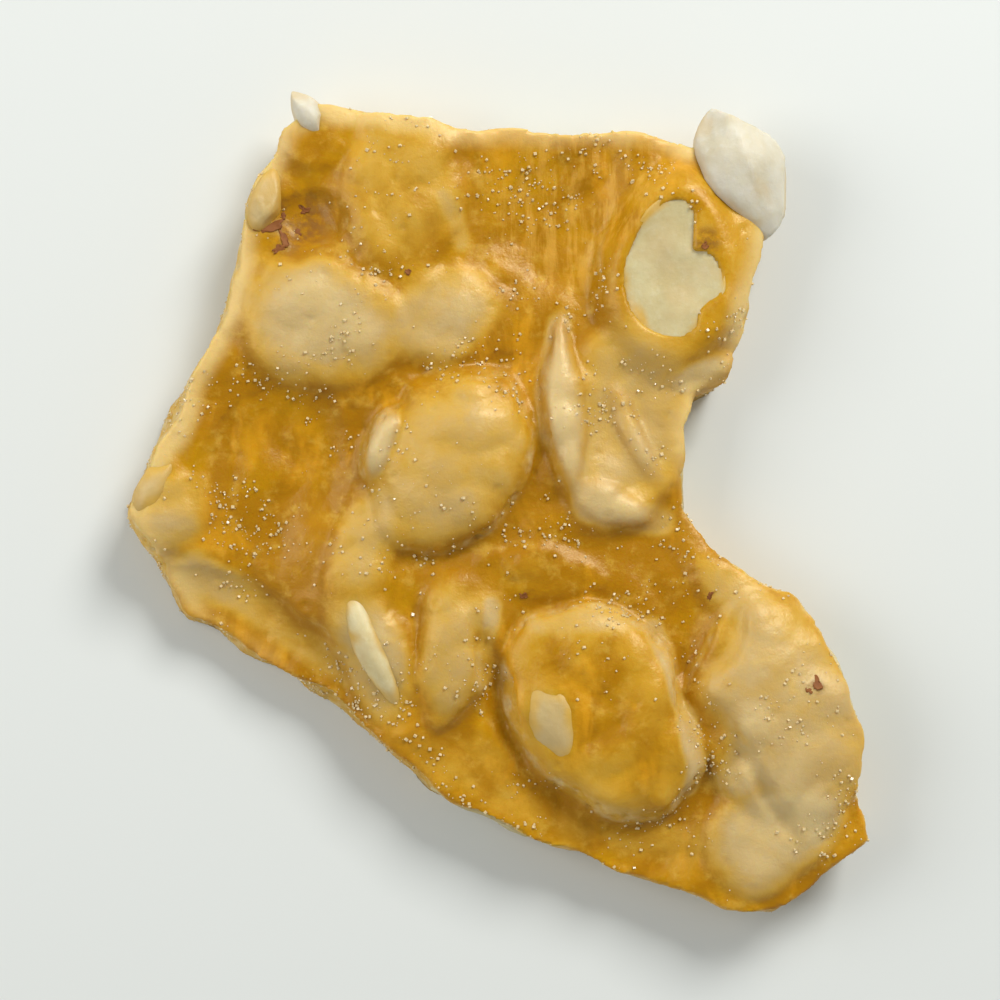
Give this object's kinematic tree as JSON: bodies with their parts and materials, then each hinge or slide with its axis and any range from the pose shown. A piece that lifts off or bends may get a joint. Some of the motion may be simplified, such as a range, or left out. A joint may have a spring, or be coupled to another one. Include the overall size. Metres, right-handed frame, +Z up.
{
  "type": "peanut brittle shard",
  "caption": "Broken shard of peanut brittle: a lumpy amber toffee sheet with a flat underside and peanut kernels set in its top, edges and base.",
  "frame": {"origin": "middle of the shard's footprint, on the surface that it lies on", "axes": "+Z up, away from the flat underside; +Y towards the straight top edge of the shard as seen in the picture; +X towards the edge with the notch"},
  "size_m": [0.0462, 0.051, 0.0066],
  "materials": {
    "toffee": "golden amber boiled-sugar toffee, satin gloss, sugar-dusted, slightly translucent",
    "peanut": "pale cream roasted peanut kernel, matt and slightly oily"
  },
  "bodies": {
    "root": {"toffee": "toffee", "peanut_top_right": "peanut", "peanut_corner": "peanut", "peanut_sliver": "peanut", "peanut_window": "peanut", "peanut_tip": "peanut", "peanut_left_edge": "peanut", "peanut_left_corner": "peanut", "peanut_notch_wall": "peanut", "peanut_right_wall": "peanut", "peanut_front_wall": "peanut", "peanut_top_wall": "peanut", "peanut_under_centre": "peanut", "peanut_under_left": "peanut", "peanut_under_front": "peanut"}
  },
  "joints": []
}
